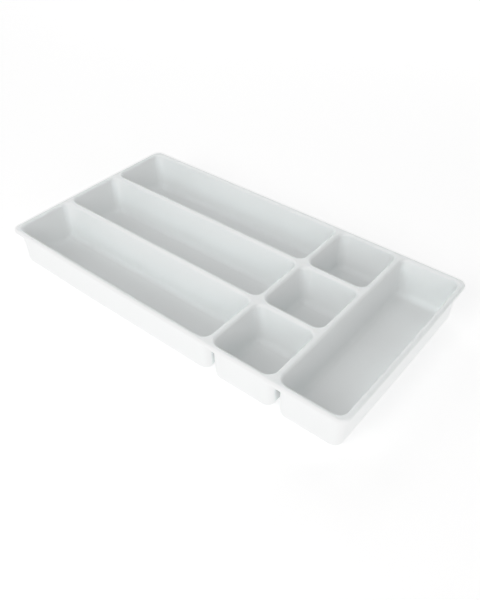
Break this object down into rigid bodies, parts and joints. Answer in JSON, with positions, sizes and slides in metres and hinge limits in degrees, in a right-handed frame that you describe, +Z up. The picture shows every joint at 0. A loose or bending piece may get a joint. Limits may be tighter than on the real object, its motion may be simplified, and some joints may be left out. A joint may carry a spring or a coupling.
{
  "type": "drawer organizer insert",
  "caption": "Shallow white plastic tray that drops into a drawer, with a narrow rim, long bins for pens, small square bins and one bin across its full width.",
  "frame": {"origin": "middle of the tray in plan, on the plane that the undersides of its bins stand on", "axes": "+X along the long side, from the long bins to the full-width bin; +Y across the tray, from its front to its rear; +Z up, out of the bins"},
  "size_m": [0.56, 0.3, 0.062],
  "materials": {
    "tray_plastic": "satin"
  },
  "bodies": {
    "root": {"rim_deck": "tray_plastic", "long_bin_front": "tray_plastic", "long_bin_middle": "tray_plastic", "long_bin_rear": "tray_plastic", "small_bin_front": "tray_plastic", "small_bin_middle": "tray_plastic", "small_bin_rear": "tray_plastic", "wide_bin": "tray_plastic"}
  },
  "joints": []
}
